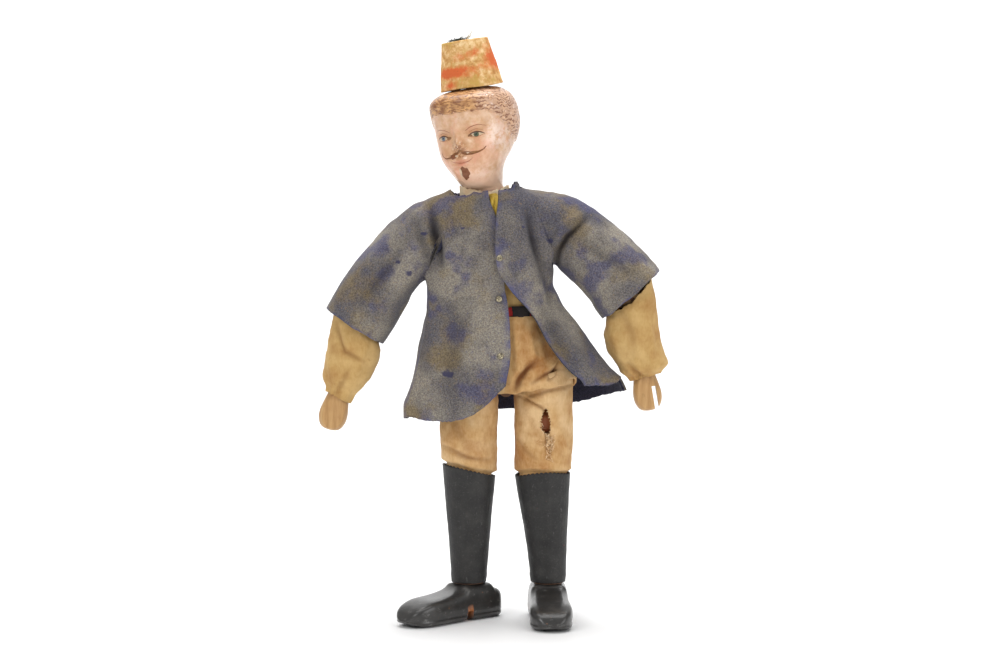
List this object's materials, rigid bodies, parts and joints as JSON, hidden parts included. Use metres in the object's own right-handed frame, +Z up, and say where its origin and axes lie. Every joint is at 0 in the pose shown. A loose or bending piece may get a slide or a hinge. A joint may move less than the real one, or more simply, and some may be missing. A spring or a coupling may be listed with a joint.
{
  "type": "peg wooden doll",
  "caption": "Jointed wooden doll with a painted face, tapered fez, open felt coat, cotton trousers and shirt sleeves, tall dark boots, strung with elastic cord.",
  "frame": {"origin": "on the ground, under the middle of the doll's overall box", "axes": "+Z up, the doll faces -Y, its right side lies towards -X; it stands leaning 6 degrees to its right, as in the picture"},
  "size_m": [0.1259, 0.0537, 0.2118],
  "materials": {
    "wood_body": "matt",
    "wood_limb": "matt",
    "wood_pin": "matt",
    "cord": "matt",
    "face_paint": "gloss paint",
    "foot_paint": "satin paint",
    "coat_felt": "matt felt",
    "tan_cotton": "matt",
    "shirt_cotton": "matt",
    "belt_cloth": "matt",
    "belt_tab": "satin",
    "collar_cotton": "frayed",
    "ribbon_silk": "satin",
    "stud_metal": "worn",
    "boot_oilcloth": "satin",
    "fez_wood": "matt",
    "fez_cloth": "woven",
    "tuft_wool": "frayed"
  },
  "bodies": {
    "torso": {"torso_block": "wood_body", "shoulder_cord": "cord", "hip_cord": "cord", "trouser_seat": "tan_cotton", "belt_red": "belt_cloth", "belt_tab_black": "belt_tab", "shirt_body": "shirt_cotton", "shirt_collar": "collar_cotton", "neck_ribbon": "ribbon_silk", "coat_back": "coat_felt", "coat_front_right": "coat_felt", "coat_front_left": "coat_felt", "coat_studs": "stud_metal"},
    "neck_cord": {"neck_cord": "cord"},
    "head": {"head": "face_paint", "neck_pin": "wood_pin", "fez": "fez_wood", "fez_cover": "fez_cloth", "fez_tuft": "tuft_wool", "fez_peg": "wood_pin"},
    "shoulder_cord_right": {"shoulder_cord_end_right": "cord"},
    "upper_arm_right": {"upper_arm_right": "wood_limb", "arm_pins_right": "wood_pin", "coat_sleeve_right": "coat_felt"},
    "elbow_cord_right": {"elbow_cord_right": "cord"},
    "forearm_right": {"forearm_right": "wood_limb", "false_sleeve_right": "shirt_cotton"},
    "shoulder_cord_left": {"shoulder_cord_end_left": "cord"},
    "upper_arm_left": {"upper_arm_left": "wood_limb", "arm_pins_left": "wood_pin", "coat_sleeve_left": "coat_felt"},
    "elbow_cord_left": {"elbow_cord_left": "cord"},
    "forearm_left": {"forearm_left": "wood_limb", "false_sleeve_left": "shirt_cotton"},
    "hip_cord_right": {"hip_cord_end_right": "cord"},
    "thigh_right": {"thigh_right": "wood_limb", "leg_pins_right": "wood_pin", "trouser_leg_right": "tan_cotton"},
    "knee_cord_right": {"knee_cord_right": "cord"},
    "shin_right": {"shin_right": "wood_limb", "foot_right": "foot_paint", "boot_shaft_right": "boot_oilcloth"},
    "hip_cord_left": {"hip_cord_end_left": "cord"},
    "thigh_left": {"thigh_left": "wood_limb", "leg_pins_left": "wood_pin", "trouser_leg_left": "tan_cotton"},
    "knee_cord_left": {"knee_cord_left": "cord"},
    "shin_left": {"shin_left": "wood_limb", "foot_left": "foot_paint", "boot_shaft_left": "boot_oilcloth"}
  },
  "joints": [
    {"name": "neck_turn", "type": "hinge", "parent": "torso", "child": "neck_cord", "pos_m": [-0.00221, 0.0055, 0.15513], "axis": [-0.1045, 0, 0.9945], "range_deg": [-60, 110]},
    {"name": "neck_nod", "type": "hinge", "parent": "neck_cord", "child": "head", "pos_m": [-0.00221, 0.0055, 0.15513], "axis": [0.8805, -0.454, 0.1363], "range_deg": [-8, 8], "deforming": ["shirt_collar"]},
    {"name": "shoulder_swing_right", "type": "hinge", "parent": "torso", "child": "shoulder_cord_right", "pos_m": [-0.02179, 0.0055, 0.14151], "axis": [0.9945, 0, 0.1045], "range_deg": [-100, 40], "deforming": ["coat_sleeve_right"]},
    {"name": "shoulder_lift_right", "type": "hinge", "parent": "shoulder_cord_right", "child": "upper_arm_right", "pos_m": [-0.02179, 0.0055, 0.14151], "axis": [0, 1, 0], "range_deg": [-25, 50]},
    {"name": "elbow_bend_right", "type": "hinge", "parent": "upper_arm_right", "child": "elbow_cord_right", "pos_m": [-0.04879, 0.0055, 0.10933], "axis": [0, 1, 0], "range_deg": [-60, 40], "deforming": ["false_sleeve_right"]},
    {"name": "forearm_turn_right", "type": "hinge", "parent": "elbow_cord_right", "child": "forearm_right", "pos_m": [-0.04879, 0.0055, 0.10933], "axis": [0.2588, 0, 0.9659], "range_deg": [-90, 90]},
    {"name": "shoulder_swing_left", "type": "hinge", "parent": "torso", "child": "shoulder_cord_left", "pos_m": [0.01978, 0.0055, 0.14588], "axis": [0.9945, 0, 0.1045], "range_deg": [-100, 40], "deforming": ["coat_sleeve_left"]},
    {"name": "shoulder_lift_left", "type": "hinge", "parent": "shoulder_cord_left", "child": "upper_arm_left", "pos_m": [0.01978, 0.0055, 0.14588], "axis": [0, 1, 0], "range_deg": [-42, 18]},
    {"name": "elbow_bend_left", "type": "hinge", "parent": "upper_arm_left", "child": "elbow_cord_left", "pos_m": [0.0505, 0.0055, 0.11723], "axis": [0, 1, 0], "range_deg": [-55, 38], "deforming": ["false_sleeve_left"]},
    {"name": "forearm_turn_left", "type": "hinge", "parent": "elbow_cord_left", "child": "forearm_left", "pos_m": [0.0505, 0.0055, 0.11723], "axis": [-0.165, 0, 0.9863], "range_deg": [-90, 90]},
    {"name": "hip_swing_right", "type": "hinge", "parent": "torso", "child": "hip_cord_right", "pos_m": [-0.0087, 0.0055, 0.088], "axis": [1, 0, 0], "range_deg": [-90, 25], "deforming": ["coat_front_right", "coat_back", "trouser_seat"]},
    {"name": "hip_spread_right", "type": "hinge", "parent": "hip_cord_right", "child": "thigh_right", "pos_m": [-0.0087, 0.0055, 0.088], "axis": [0, 1, 0], "range_deg": [-3, 35]},
    {"name": "knee_bend_right", "type": "hinge", "parent": "thigh_right", "child": "knee_cord_right", "pos_m": [-0.0087, 0.0055, 0.058], "axis": [-1, 0, 0], "range_deg": [-60, 12], "deforming": ["trouser_leg_right", "boot_shaft_right"]},
    {"name": "knee_turn_right", "type": "hinge", "parent": "knee_cord_right", "child": "shin_right", "pos_m": [-0.0087, 0.0055, 0.058], "axis": [0, 0, 1], "range_deg": [-40, 46]},
    {"name": "hip_swing_left", "type": "hinge", "parent": "torso", "child": "hip_cord_left", "pos_m": [0.0184, 0.0055, 0.088], "axis": [1, 0, 0], "range_deg": [-90, 25], "deforming": ["coat_front_left"]},
    {"name": "hip_spread_left", "type": "hinge", "parent": "hip_cord_left", "child": "thigh_left", "pos_m": [0.0184, 0.0055, 0.088], "axis": [0, 1, 0], "range_deg": [-35, 3]},
    {"name": "knee_bend_left", "type": "hinge", "parent": "thigh_left", "child": "knee_cord_left", "pos_m": [0.0184, 0.0055, 0.058], "axis": [-1, 0, 0], "range_deg": [-60, 12], "deforming": ["trouser_leg_left", "boot_shaft_left"]},
    {"name": "knee_turn_left", "type": "hinge", "parent": "knee_cord_left", "child": "shin_left", "pos_m": [0.0184, 0.0055, 0.058], "axis": [-0.0419, 0, 0.9991], "range_deg": [-20, 60]}
  ]
}
